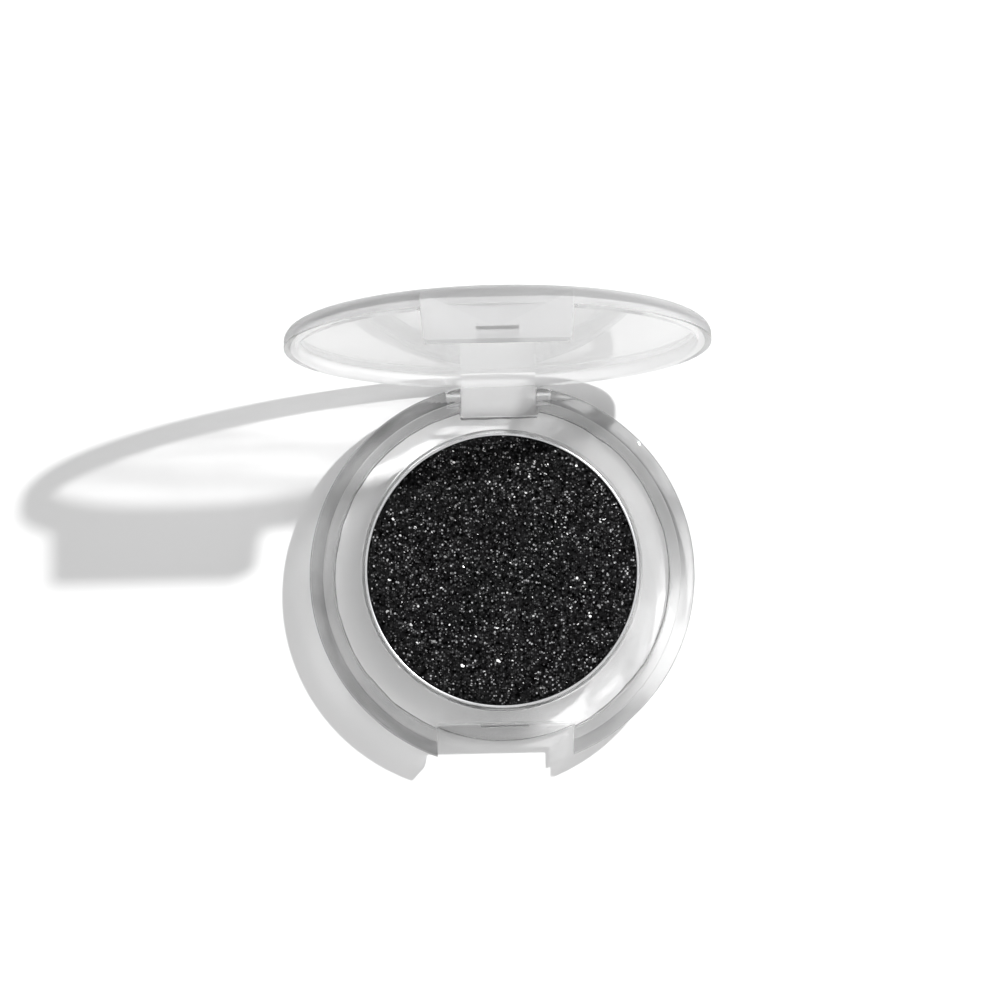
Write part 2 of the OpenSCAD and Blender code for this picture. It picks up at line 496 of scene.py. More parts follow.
def filleted(*corners: tuple[float, float, float], steps: int = 5) -> Array:
    """Rounds the corners of an open outline.

    Each corner becomes an arc of its own radius that is tangent to both sides: its centre is at
    corner + (u + v) / |u + v| * r / sin(a / 2), where u and v point along the sides and a is the
    angle between them. A point a fifth of a radius before and after keeps the sides flat.

    Args:
        corners: (x, y, radius) for each corner, the first and last being plain ends.
        steps: the number of chords in an arc.

    Returns:
        The rounded outline as an array of (x, y).
    """
    points = [np.array(corners[0][:2])]
    for before, here, after in zip(corners, corners[1:], corners[2:]):
        corner, radius = np.array(here[:2], float), here[2]
        if radius <= 0:
            points.append(corner)
            continue
        u, v = (np.array(p[:2], float) - corner for p in (before, after))
        u, v = u / np.linalg.norm(u), v / np.linalg.norm(v)
        half = math.acos(float(np.clip(u @ v, -1, 1))) / 2
        setback = radius / math.tan(half)
        bisector = (u + v) / np.linalg.norm(u + v)
        centre = corner + bisector * radius / math.sin(half)
        a, b = corner + u * setback - centre, corner + v * setback - centre
        sweep = math.pi - 2 * half
        turn = np.linspace(0, sweep, steps + 1)
        arc = np.outer(np.sin(sweep - turn), a) + np.outer(np.sin(turn), b)
        arc = arc / math.sin(sweep) + centre
        points.append(corner + u * (setback + 0.2 * radius))
        points.extend(arc)
        points.append(corner + v * (setback + 0.2 * radius))
    points.append(np.array(corners[-1][:2]))
    return np.array(points, float)


def between(a: Array, b: Array, shares: Array) -> Array:
    """Points a + (b - a) * share on straight lines, an array of (line, share, 3)."""
    return a[:, None] + (b - a)[:, None] * shares[None, :, None]


def rounded_corner(a: Array, corner: Array, b: Array, count: int) -> Array:
    """Curves of count points, (1-t)^2 a + 2t(1-t) corner + t^2 b, from a to b."""
    t = np.linspace(0, 1, count)[None, :, None]
    return (1 - t) ** 2 * a[:, None] + 2 * t * (1 - t) * corner[:, None] + t**2 * b[:, None]


def upright(r: float, high: float, low: float, count: int) -> Array:
    """The (radius, height) points of count rows down an upright wall."""
    return np.linspace((r, high), (r, low), count)


def towards(a: Array, b: Array, far: float) -> Array:
    """The points that lie far along the way from a to b."""
    way = b - a
    return a + way / np.linalg.norm(way, axis=1, keepdims=True) * far


def on_circles(r: Array, angle: Array, z: Array, y: float = 0.0) -> Array:
    """Points (r sin a, y + r cos a, z), with r and z as columns and a from +y."""
    return np.stack([r * np.sin(angle), y + r * np.cos(angle), z + 0 * angle], axis=2)


def rings(profile: Array, count: int, y: float = 0.0) -> Array:
    """A (radius, height) profile turned about an upright axis at y, count points to a ring."""
    t = np.linspace(0, 2 * math.pi, count, endpoint=False)
    return on_circles(profile[:, :1], t, profile[:, 1:], y)


def solid(name: str, loops: Array) -> Piece:
    """A closed skin over a stack of closed loops, with a fan of triangles over each end loop.

    The faces are turned over if the sum of p . (q x s) over the triangles is negative.

    Args:
        name: the piece's name.
        loops: an array of (loop, point, 3), in millimetres.

    Returns:
        The new object, its faces pointing outwards.
    """
    rows, cols = loops.shape[:2]
    ends = np.stack([loops[0].mean(0), loops[-1].mean(0)])
    points = np.concatenate([loops.reshape(-1, 3), ends]) * MM
    at = np.arange(rows * cols).reshape(rows, cols)
    ahead = np.roll(at, -1, axis=1)
    quads = np.stack([at[:-1], ahead[:-1], ahead[1:], at[1:]], axis=2).reshape(-1, 4)
    first = np.stack([ahead[0], at[0], np.full(cols, rows * cols)], axis=1)
    last = np.stack([at[-1], ahead[-1], np.full(cols, rows * cols + 1)], axis=1)
    fans = np.concatenate([first, last])
    split = np.concatenate([quads[:, [0, 1, 2]], quads[:, [0, 2, 3]], fans])
    p, q, s = (points[split[:, i]] for i in range(3))
    if np.einsum("ij,ij->", p, np.cross(q, s)) < 0:
        quads, fans = quads[:, ::-1], fans[:, ::-1]
    mesh = bpy.data.meshes.new(name)
    mesh.from_pydata(points.tolist(), [], quads.tolist() + fans.tolist())
    return smoothed(linked(name, mesh))


def linked(name: str, mesh: Mesh) -> Piece:
    """Puts a mesh into the scene and returns its object."""
    mesh.validate()
    made = bpy.data.objects.new(name, mesh)
    bpy.context.scene.collection.objects.link(made)
    return made


def smoothed(piece: Piece) -> Piece:
    """Shades a piece smooth, with its real edges sharp, and returns it."""
    piece.data.polygons.foreach_set("use_smooth", [True] * len(piece.data.polygons))
    piece.data.set_sharp_from_angle(angle=SHARP)
    piece.data.update()
    return piece


def triangulated(piece: Piece) -> Piece:
    """Cuts a piece's faces into triangles, which are always flat, and returns it."""
    cuts = bmesh.new()
    cuts.from_mesh(piece.data)
    bmesh.ops.triangulate(cuts, faces=cuts.faces)
    cuts.to_mesh(piece.data)
    cuts.free()
    return piece


def joined(piece: Piece, others: list, operation: str) -> Piece:
    """Adds other solids to a piece, or cuts them from it, and applies the result.

    Args:
        piece: the object that is changed.
        others: the solids, which are removed afterwards.
        operation: "UNION" or "DIFFERENCE".

    Returns:
        The same piece.
    """
    for other in others:
        cut = piece.modifiers.new("join", "BOOLEAN")
        cut.operation, cut.solver, cut.object = operation, "EXACT", triangulated(other)
    graph = bpy.context.evaluated_depsgraph_get()
    mesh = bpy.data.meshes.new_from_object(piece.evaluated_get(graph))
    piece.modifiers.clear()
    old, name = piece.data, piece.data.name
    piece.data = mesh
    bpy.data.meshes.remove(old)
    mesh.name = name
    for other in others:
        used = other.data
        bpy.data.objects.remove(other)
        bpy.data.meshes.remove(used)
    return smoothed(piece)


def vectors_of(items: Any, name: str) -> Array:
    """One property of a mesh's points or faces, as an array of (item, 3)."""
    values = np.empty(len(items) * 3)
    items.foreach_get(name, values)
    return values.reshape(-1, 3)


def faces_of(piece: Piece) -> tuple[Array, Array]:
    """The middles, in millimetres, and the normals of a piece's faces."""
    faces = piece.data.polygons
    return vectors_of(faces, "center") / MM, vectors_of(faces, "normal")


def marked(piece: Piece, name: str, values: Array) -> None:
    """Gives each face of a piece its own number from 0 to 1."""
    mark = piece.data.attributes.new(name, "FLOAT", "FACE")
    mark.data.foreach_set("value", values.astype(np.float32))


def bell(value: Array, centre: float, width: float) -> Array:
    """A smooth hump, exp(-((value - centre) / width)^2), with value and centre in degrees."""
    away = (value - centre + 180) % 360 - 180
    return np.exp(-((away / width) ** 2))


def dressed(piece: Piece, finish: Material, body: Body) -> Piece:
    """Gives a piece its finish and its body.

    Args:
        piece: the finished mesh.
        finish: its material.
        body: the body it rides on.

    Returns:
        The same piece.
    """
    piece.data.materials.clear()
    piece.data.materials.append(finish)
    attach(piece, body.value)
    count = sum(len(p.vertices) - 2 for p in piece.data.polygons)
    log.info("%s rides on %s, %d triangles", piece.name, body.value, count)
    return piece


# The compact's pieces.


@dataclass
class Hinge:
    """Where the lid turns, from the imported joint."""

    pivot_y: float
    pivot_z: float
    opening: float

    @classmethod
    def of(cls, joint: dict) -> "Hinge":
        """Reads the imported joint.

        Args:
            joint: the joint's entry in the record.

        Returns:
            The hinge, in millimetres and radians.
        """
        low, high = joint["range_deg"]
        _, y, z = (v / MM for v in joint["pos_m"])
        return cls(y, z, math.radians(high - low))

    def rods(self, name: str, radius: float, near: float, far: float, bevel: float) -> list:
        """Two round rods on the hinge axis, one to each side, with rounded outer edges.

        Args:
            name: the rods' name.
            radius: their radius.
            near: how far from the middle they start.
            far: how far from the middle they end.
            bevel: the outer edge's radius.

        Returns:
            The rods.
        """
        ends = [(0.05, 0, 0), (radius, 0, 0), (radius, far - near, bevel), (0.05, far - near, 0)]
        y, z, out = np.moveaxis(rings(filleted(*ends, steps=4), 64), 2, 0)
        y, z = self.pivot_y + y, self.pivot_z + z
        return [
            solid(f"{name}_{side}", np.stack([side * (near + out), y, z], 2)) for side in (-1, 1)
        ]

    def opened(self, piece: Piece) -> Piece:
        """Turns a closed piece's points about the hinge to its open place.

        Args:
            piece: the object, modelled closed.

        Returns:
            The same object.
        """
        co = vectors_of(piece.data.vertices, "co")
        y, z = co[:, 1] - self.pivot_y * MM, co[:, 2] - self.pivot_z * MM
        c, s = math.cos(-self.opening), math.sin(-self.opening)
        co[:, 1] = y * c - z * s + self.pivot_y * MM
        co[:, 2] = y * s + z * c + self.pivot_z * MM
        piece.data.vertices.foreach_set("co", co.ravel())
        piece.data.update()
        return piece


@dataclass
class BaseShell:
    """The thick clear base: foot, flare, ledge, raised ring, well, latch notch and hinge slot.

    The corners of the slot and the notch are rounded by inner at the back and by bend at the
    outside. Below foot_edge the outline follows the foot's rounded toe. catch_shares are the
    shares of the rows where the notch's back wall meets the catch, and catch_places its columns in
    half widths of the catch. partners are the angles, in degrees, where the outline's parts meet
    the well's. A window or a glow is a share, an angle in degrees and a width.
    """

    hinge: Hinge
    foot_r: float = 16.15
    floor_z: float = 0.9
    outer_r: float = 18.3
    flare_z: float = 2.109
    ledge_z: float = 4.0
    ring_r: float = 16.9
    ring_z: float = 4.8
    well_r: float = 13.25
    well_y: float = 0.5
    slot_half: float = 3.63
    slot_y: float = 15.1
    notch_half: float = 6.45
    notch_y: float = -14.1
    catch_half: float = 2.35
    catch_out: float = 0.45
    catch_z: float = 2.7
    nose_r: float = 0.3
    relief_r: float = 1.5
    recess_r: float = 12.2
    recess_z: float = 0.2
    edge: float = 0.12
    foot_edge: float = 0.26
    inner: float = 0.12
    bend: float = 0.1
    sill_steps: int = 4
    arc_points: int = 190
    toe_z: float = 0.5
    toe_r: float = 0.25
    wall_rows: tuple = (3.65, 2.45, 12)
    foot_rows: tuple = (0.78, 0.6, 3)
    hole_r: float = 0.55
    hole_end: float = 5.03
    hole_bevel: float = 0.03
    catch_shares: tuple = (0, 0.22, 0.26, 0.28, 0.74, 0.76, 0.80, 1)
    catch_places: tuple = (0, 0.2, 0.4, 0.6, 0.75, 0.86, 0.93, 0.97, 0.99, 1.0, 1.008, 1.03, 1.1)
    window: tuple = (0.9, -18, 32)
    glow_least: float = 0.15
    glows: tuple = ((1.9, 132, 26), (0.3, -50, 30))
    cut_pane: float = 0.7
    flare_satin: float = 0.7
    partners: tuple = (0, 17.7, 18.0, 20.6, 21.2, 147.0, 147.6, 150.0, 150.4, 180)

    def levels(self) -> tuple[Array, int, int]:
        """The outside's profile, from the ring's top edge to the foot's underside.

        Returns:
            The (radius, height) points, how many lie on the ring's top edge, and the first that
            lies at or below the notch's floor.
        """
        step, foot = self.ledge_z + 0.2, self.toe_z
        top = filleted(
            (self.ring_r - 4 * self.edge, self.ring_z, 0),
            (self.ring_r, self.ring_z, self.edge),
            (self.ring_r, step, 0),
        )
        middle = filleted(
            (self.ring_r, step, 0),
            (self.ring_r, self.ledge_z, 0.06),
            (self.outer_r, self.ledge_z, 0.25),
            (self.outer_r, self.flare_z, 0.3),
            (self.foot_r, self.floor_z, 0.1),
            (self.foot_r, foot, 0),
        )
        toe = (self.foot_r - 0.6, 0, 0)
        lower = filleted((self.foot_r, foot, 0), (self.foot_r, 0, self.toe_r), toe)
        ledge = np.searchsorted(middle[:, 0], self.ring_r + 0.2)
        at_wall = np.flatnonzero(middle[:, 0] >= self.outer_r - 1e-6)
        ledges = np.linspace(self.ring_r + 0.25, self.outer_r - 0.45, 5)
        ledges = np.stack([ledges, np.full(5, self.ledge_z)], 1)
        walls = upright(self.outer_r, *self.wall_rows)
        corner, flare = middle[ledge : at_wall[0] + 1], middle[at_wall[-1] :]
        middle = np.concatenate([middle[1:ledge], ledges, corner, walls, flare])
        above = middle[middle[:, 1] > self.floor_z]
        below = upright(self.foot_r, *self.foot_rows)
        profile = np.concatenate([top, above, below, lower])
        return profile, len(top) - 1, len(top) + len(above)

    def relief(self, y: Array) -> Array:
        """The height the back edge is cut down to so that the lid's rim can turn past it.

        It is pivot_z + sqrt(relief_r^2 - (y - pivot_y)^2) behind the hinge axis, and the ledge in
        front of it.

        Args:
            y: how far back each point is.

        Returns:
            The height at each point.
        """
        back = y - self.hinge.pivot_y
        arch = self.hinge.pivot_z + np.sqrt(np.maximum(self.relief_r**2 - back**2, 0))
        return np.where(back > 0, np.minimum(arch, self.ledge_z), self.ledge_z)

    def lowered(self, points: Array) -> Array:
        """Brings points behind the hinge axis down under the relief.

        A height z above the flare becomes flare + (z - flare) * (relief - flare) / (ledge - flare).

        Args:
            points: an array of (..., 3).

        Returns:
            The changed array.
        """
        y, z = points[..., 1], points[..., 2]
        low = self.flare_z - 0.2
        share = (self.relief(y) - low) / (self.ledge_z - low)
        bent = np.where((z > low) & (y > self.hinge.pivot_y), low + (z - low) * share, z)
        return np.stack([points[..., 0], y, bent], axis=-1)

    def half_outline(self) -> tuple[Array, Array]:
        """The outside's loops over positive x, from the slot's end wall to the notch's back wall.

        At each level the outline runs along the slot's end wall and cheek, round the level's own
        circle, and along the notch's cheek and back wall, each corner rounded. Along the cuts the
        heights run evenly down the wall, so a cheek is a ruled patch between wall and profile.
        Below the notch's floor, the notch's part of each loop follows the foot's circle.

        Returns:
            An array of (level, point, 3), and the angle from +y of the point's partner on the
            well's and the label recess's circles.
        """
        profile, top, under = self.levels()
        r, z = profile.T
        index = np.arange(len(profile))
        cut, flat = index < under, 0.0 * r
        low = np.flatnonzero(z < self.foot_edge)[0]
        inset = np.where(z < self.foot_edge, self.foot_r - r, 0.0)
        inset = np.maximum(np.where(index < top, self.ring_r - r, inset), 0.0)
        even = np.interp(index, [top, low], [z[top], z[low]])
        slot_z = np.where((index > top) & (index < low), even, z)
        beside = np.array([0.06, 0.002, -0.002])
        over, below = self.catch_z + self.nose_r, self.catch_z - self.nose_r
        heights = [z[top], *(over + beside), *(below - beside[::-1]), self.floor_z]
        share = np.interp(index, [top, under - 1], [0, 1])
        notch_z = np.where(index <= top, z, np.interp(share, self.catch_shares, heights))

        past = index - under
        turn = np.clip(past, 0, self.sill_steps) / self.sill_steps * math.pi / 2
        sill_r = np.minimum(self.foot_r - self.bend + self.bend * np.sin(turn), r)
        sill_r = np.where(past >= 0, sill_r, r)
        sill_z = self.floor_z - self.bend * (1 - np.cos(turn))
        sill_z = np.where((past >= 0) & (past < self.sill_steps), sill_z, z)

        xs, ys = self.slot_half + inset, self.slot_y - inset
        a0, a1 = np.stack([flat, ys, slot_z], 1), np.stack([xs, ys, slot_z], 1)
        a2 = np.stack([xs, np.sqrt(r**2 - xs**2), z], 1)
        xn, yn = self.notch_half + inset * cut, self.notch_y + inset * cut
        b0, b1 = np.stack([flat, yn, notch_z], 1), np.stack([xn, yn, notch_z], 1)
        b2 = np.stack([xn, -np.sqrt(sill_r**2 - xn**2), sill_z], 1)

        bend = self.bend / self.outer_r
        start, stop = np.arcsin(xs / r) + bend, math.pi - np.arcsin(xn / sill_r) - bend
        angle = between(start[:, None], stop[:, None], np.linspace(0, 1, self.arc_points))[..., 0]
        arc = on_circles(r[:, None], angle, z[:, None])
        s1, s2 = towards(a1, a0, self.inner), towards(a1, a2, self.inner)
        n2, n1 = towards(b1, b2, self.inner), towards(b1, b0, self.inner)
        s3, n3 = towards(a2, a1, self.bend), towards(b2, b1, self.bend)
        side = np.linspace(0, 1, 9)[1:-1]
        catch = 1 - np.array(self.catch_places) * self.catch_half / (self.notch_half - self.inner)
        parts = [
            between(a0, s1, np.array([0, 0.25, 0.5, 0.75, 0.92, 0.98])),
            rounded_corner(s1, a1, s2, 5),
            between(s2, s3, side),
            rounded_corner(s3, a2, arc[:, 0], 6)[:, :-1],
            arc,
            rounded_corner(arc[:, -1], b2, n3, 6)[:, 1:],
            between(n3, n2, side),
            rounded_corner(n2, b1, n1, 5),
            between(n1, b0, np.concatenate([np.linspace(0.02, 0.58, 9), catch[::-1]])),
        ]
        sizes = [part.shape[1] for part in parts]
        ends = np.radians(self.partners)
        theta = np.concatenate(
            [np.linspace(a, b, n, endpoint=False) for a, b, n in zip(ends, ends[1:], sizes)]
        )
        theta[-1] = math.pi
        half = self.with_catch(self.lowered(np.concatenate(parts, axis=1)), cut)

        begin, hold = sum(sizes[:6]) - 3, ~cut
        at = np.arctan2(half[hold, begin, 0], half[hold, begin, 1])[:, None]
        round_foot = at + (math.pi - at) * np.linspace(0, 1, half.shape[1] - begin)
        half[hold, begin:] = on_circles(sill_r[hold, None], round_foot, sill_z[hold, None])
        return half, theta

    def with_catch(self, half: Array, cut: Array) -> Array:
        """Swells the catch out of the notch's back wall.

        The wall moves out by (out - nose) + sqrt(nose^2 - (z - catch_z)^2), fading over the last
        tenth of a millimetre of the catch's width.

        Args:
            half: the half outline's points.
            cut: which levels lie above the notch's floor.

        Returns:
            The changed points.
        """
        x, y, z = (half[..., i] for i in range(3))
        on_wall = (np.abs(y - self.notch_y) < 1e-6) & cut[:, None]
        rise = np.sqrt(np.maximum(self.nose_r**2 - (z - self.catch_z) ** 2, 0))
        inside = on_wall & (np.abs(z - self.catch_z) < self.nose_r)
        fade = np.clip((self.catch_half - x) / 0.1, 0, 1)
        fade = np.sqrt(np.maximum(1 - (1 - fade) ** 2, 0))
        out = np.where(inside, (self.catch_out - self.nose_r + rise) * fade, 0)
        half[..., 1] = y - out
        return half

    def build(self) -> Piece:
        """Builds the whole base as one skin, with two blind holes for the lid's trunnions.

        Returns:
            The base's object.
        """
        half, theta = self.half_outline()
        mirror = half[:, 1:-1][:, ::-1] * np.array([-1, 1, 1])
        outside = np.concatenate([half, mirror], axis=1)
        theta = np.concatenate([theta, 2 * math.pi - theta[1:-1][::-1]])
        well = filleted(
            (0.6, self.floor_z, 0),
            (self.well_r, self.floor_z, 0.12),
            (self.well_r, self.ring_z, 0.14),
            (self.well_r + 0.6, self.ring_z, 0),
        )
        recess = filleted(
            (self.recess_r + 1.2, 0, 0),
            (self.recess_r, 0, 0.04),
            (self.recess_r, self.recess_z, 0.04),
            (0.6, self.recess_z, 0),
        )
        inside = on_circles(well[:, :1], theta, well[:, 1:], self.well_y)
        under = on_circles(recess[:, :1], theta, recess[:, 1:])
        shell = solid("clear_base_shell", np.concatenate([inside, outside, under]))
        near = self.slot_half - 0.5
        holes = self.hinge.rods("hole", self.hole_r, near, self.hole_end, self.hole_bevel)
        return self.shaded(joined(shell, holes, "DIFFERENCE"))

    def shaded(self, shell: Piece) -> Piece:
        """Marks where a lamp shines through the base and where it looks smoky.

        The ring's top, the foot's underside and the side that faces right let light through. The
        flare and the outer ledge look smoky everywhere else: a painted shade, their colour painted
        darker for the shade that falls there. The foot's wall and the flare are satin.

        Args:
            shell: the base's object.

        Returns:
            The same object.
        """
        middle, normal = faces_of(shell)
        x, y, z = middle.T
        r, up = np.hypot(x, y), normal[:, 2]
        around = np.degrees(np.arctan2(y, x))
        clear, *window_at = self.window
        window = clear * bell(around, *window_at)
        under = (z < 0.3) & (up < -0.9)
        crown = (z > self.ring_z - 0.05) & (up > 0.9)
        outer = (r > self.ring_r - 0.05) & ~crown
        in_slot = (np.abs(x) < self.slot_half + 0.3) & (y > self.slot_y - 0.2)
        in_notch = (np.abs(x) < self.notch_half + 0.3) & (y < self.notch_y + 0.2)
        cuts = (z < self.ledge_z) & (in_slot | in_notch)
        glow = self.glow_least
        for share, at, width in self.glows:
            glow = glow + share * bell(around, at, width)
        pane = np.where(under, 1.0, np.where(crown, glow, np.where(outer, window, 0.0)))
        marked(shell, ClearPlastic.pane, np.where(cuts, np.maximum(pane, self.cut_pane), pane))
        flare = (up < -0.2) & (z > 0.5) & (z < self.flare_z + 0.35)
        ledge = (up > 0.9) & (np.abs(z - self.ledge_z) < 0.05)
        # Painted shade: the flare and outer ledge are painted darker, except on the side towards
        # the lamp.
        deep = np.where(flare | (ledge & outer), 1.0, 0.0)
        marked(shell, ClearPlastic.deep, deep * (1 - window))
        wall = (np.abs(up) < 0.3) & (z < self.floor_z) & (r > self.foot_r - 0.5)
        soft = np.where(wall, 1.0, np.where(flare, self.flare_satin, 0.0))
        marked(shell, ClearPlastic.soft, soft)
        return shell


def slab(axis: str, outline: Array, start: float, end: float, edge: float) -> Array:
    """Loops for a flat slab with rounded rims: the outline shrinks by the edge at both faces.

    Args:
        axis: the axis that it is drawn along, "x" or "y".
        outline: (a, b) points round the slab's face.
        start: where the first face lies.
        end: where the second face lies.
        edge: the rim's radius.

    Returns:
        An array of (loop, point, 3).
    """
    ahead = np.roll(outline, -1, axis=0) - outline
    behind = outline - np.roll(outline, 1, axis=0)
    ahead, behind = (v / np.linalg.norm(v, axis=1, keepdims=True) for v in (ahead, behind))
    tangent = ahead + behind
    tangent /= np.linalg.norm(tangent, axis=1, keepdims=True)
    area = np.cross(outline, np.roll(outline, -1, axis=0)).sum()
    inward = np.stack([-tangent[:, 1], tangent[:, 0]], 1) * np.sign(area)
    turn = np.linspace(0, math.pi / 2, 5)
    sink, rise = edge * (1 - np.sin(turn)), edge * (1 - np.cos(turn))
    beyond, way = edge * 1.3, np.sign(end - start)
    sinks = np.concatenate([[beyond], sink, [0]])
    sinks = np.concatenate([sinks, sinks[::-1]])
    steps = way * np.concatenate([[0], rise, [beyond]])
    places = np.concatenate([start + steps, end - steps[::-1]])
    flat = outline[None] + inward[None] * sinks[:, None, None]
    depth = np.broadcast_to(places[:, None, None], flat.shape[:2] + (1,))
    a, b = flat[..., :1], flat[..., 1:]
    return np.concatenate((depth, a, b) if axis == "x" else (a, depth, b), axis=2)


@dataclass
class Lid:
    """The clear lid: plate, rim, latch tab with its nib, and hinge tongue with two trunnions."""

    hinge: Hinge
    outer_r: float = 18.3
    rim_r: float = 17.1
    rim_z: float = 4.03
    under_z: float = 4.95
    top_z: float = 5.65
    edge_r: float = 1.0
    cove_r: float = 0.3
    tab_half: float = 5.85
    tab_tip_half: float = 5.6
    tab_tip_z: float = 1.4
    tab_front: float = -17.9
    tab_back: float = -16.3
    nib_half: float = 1.65
    nib_y: float = -14.83
    nib_z: float = 2.4
    nose_r: float = 0.3
    tongue_half: float = 3.53
    barrel_r: float = 1.35
    tongue_back: float = 1.19
    pin_r: float = 0.5
    pin_end: float = 4.73
    pin_bevel: float = 0.15
    bevel: float = 0.1
    pane_end: float = -13.6
    tongue_pane: float = 0.5
    tab_satin: float = 0.7
    tab_root: float = 0.17
    tongue_root: float = 0.13
    nib_root: float = 0.53
    pin_root: float = 0.6
    turns: int = 400

    def cap(self) -> Piece:
        """The plate and rim, closed: one profile turned about the upright axis.

        Returns:
            The cap's object.
        """
        profile = filleted(
            (0.6, self.under_z, 0),
            (self.rim_r, self.under_z, self.cove_r),
            (self.rim_r, self.rim_z, 0.1),
            (self.outer_r, self.rim_z, 0.12),
            (self.outer_r, self.top_z, self.edge_r),
            (0.6, self.top_z, 0),
            steps=8,
        )
        return solid("clear_lid", rings(profile, self.turns))

    def tab(self) -> Piece:
        """The latch tab, a tapered slab with rounded rims whose root sits in the plate.

        Returns:
            The tab's object.
        """
        root = self.under_z + self.tab_root
        right = filleted(
            (0, self.tab_tip_z, 0),
            (self.tab_tip_half, self.tab_tip_z, 0.25),
            (self.tab_half, self.rim_z, 0),
            (self.tab_half, root, 0),
            (0, root, 0),
        )
        outline = np.concatenate([right, right[1:-1][::-1] * np.array([-1, 1])])
        return solid("tab", slab("y", outline, self.tab_front, self.tab_back, self.bevel))

    def nib(self) -> Piece:
        """The nib inside the tab, a bar with a half-round nose."""
        turn = np.linspace(-math.pi / 2, math.pi / 2, 12)
        y, z, r, root = self.nib_y, self.nib_z, self.nose_r, self.tab_back - self.nib_root
        nose = np.stack([y + r * np.cos(turn), z + r * np.sin(turn)], 1)
        outline = np.concatenate([nose, [(root, z + r), (root, z - r)]])
        return solid("nib", slab("x", outline, -self.nib_half, self.nib_half, 0.06))

    def tongue(self) -> Piece:
        """The hinge tongue, rounded in front about the hinge axis, with a square heel.

        Returns:
            The tongue's object.
        """
        y, z, r = self.hinge.pivot_y, self.hinge.pivot_z, self.barrel_r
        root = self.under_z + self.tongue_root
        turn = np.linspace(math.pi, 1.5 * math.pi, 17)
        front = np.stack([y + r * np.cos(turn), z + r * np.sin(turn)], 1)
        back = y + self.tongue_back
        heel = filleted((y + 0.3, z - r, 0), (back, z - r, 0.12), (back, z, 0))
        rest = [(back, root), (y - r, root), (y - r, (root + z) / 2)]
        outline = np.concatenate([front, heel, rest])
        return solid("tongue", slab("x", outline, -self.tongue_half, self.tongue_half, self.bevel))

    def build(self) -> Piece:
        """Joins the lid's parts, closed, and turns it open.

        Returns:
            The lid's object.
        """
        near = self.tongue_half - self.pin_root
        pins = self.hinge.rods("pin", self.pin_r, near, self.pin_end, self.pin_bevel)
        lid = joined(self.cap(), [self.tab(), self.nib(), self.tongue(), *pins], "UNION")
        return self.hinge.opened(self.shaded(lid))

    def shaded(self, lid: Piece) -> Piece:
        """Marks where a lamp shines through the closed lid and where it looks smoky.

        The plate lets light through as far as the latch tab's thick root, and so does the tongue.
        The top's rounded edge looks smoky: a painted shade, its colour painted a little darker.

        Args:
            lid: the lid's object, modelled closed.

        Returns:
            The same object.
        """
        middle, normal = faces_of(lid)
        x, y, z = middle.T
        r = np.hypot(x, y)
        plate = (np.abs(normal[:, 2]) > 0.99) & (r < self.rim_r) & (y > self.pane_end)
        tongue = (np.abs(x) < self.tongue_half + 0.01) & (y > 14) & (z < self.under_z)
        edge = (z > self.rim_z + 0.1) & (r > self.rim_r + 0.1)
        tab = (np.abs(x) < self.tab_half + 0.01) & (y < self.nib_y + 0.4) & (z < self.under_z)
        pane = np.where(plate, 1.0, np.where(tongue, self.tongue_pane, 0.0))
        marked(lid, ClearPlastic.pane, pane)
        # Painted shade: the top's rounded edge is painted a little darker.
        marked(lid, ClearPlastic.deep, edge)
        marked(lid, ClearPlastic.soft, np.where(tab, self.tab_satin, edge))
        return lid


